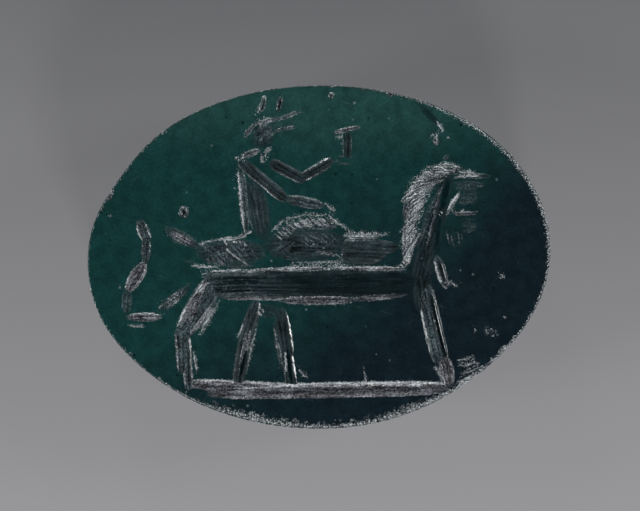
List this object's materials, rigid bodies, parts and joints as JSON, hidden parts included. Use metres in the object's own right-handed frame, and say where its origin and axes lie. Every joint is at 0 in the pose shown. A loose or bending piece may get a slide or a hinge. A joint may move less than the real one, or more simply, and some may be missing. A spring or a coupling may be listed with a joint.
{
  "type": "engraved gem",
  "caption": "Oval ring stone of dark green jasper with a flat polished face, engraved with a cup-bearing rider on a walking lion over a ground line.",
  "frame": {"origin": "middle of the flat back that the stone lies on", "axes": "+X to the right along the stone's length as the engraving is read, +Y towards the rider's head, +Z out of the engraved face"},
  "size_m": [0.014, 0.0104, 0.0026],
  "materials": {
    "green_stone": "polished face, dark green with fine specks; frosted grey where it is cut; satin ground sides and back"
  },
  "bodies": {
    "root": {"engraved_gem": "green_stone"}
  },
  "joints": []
}
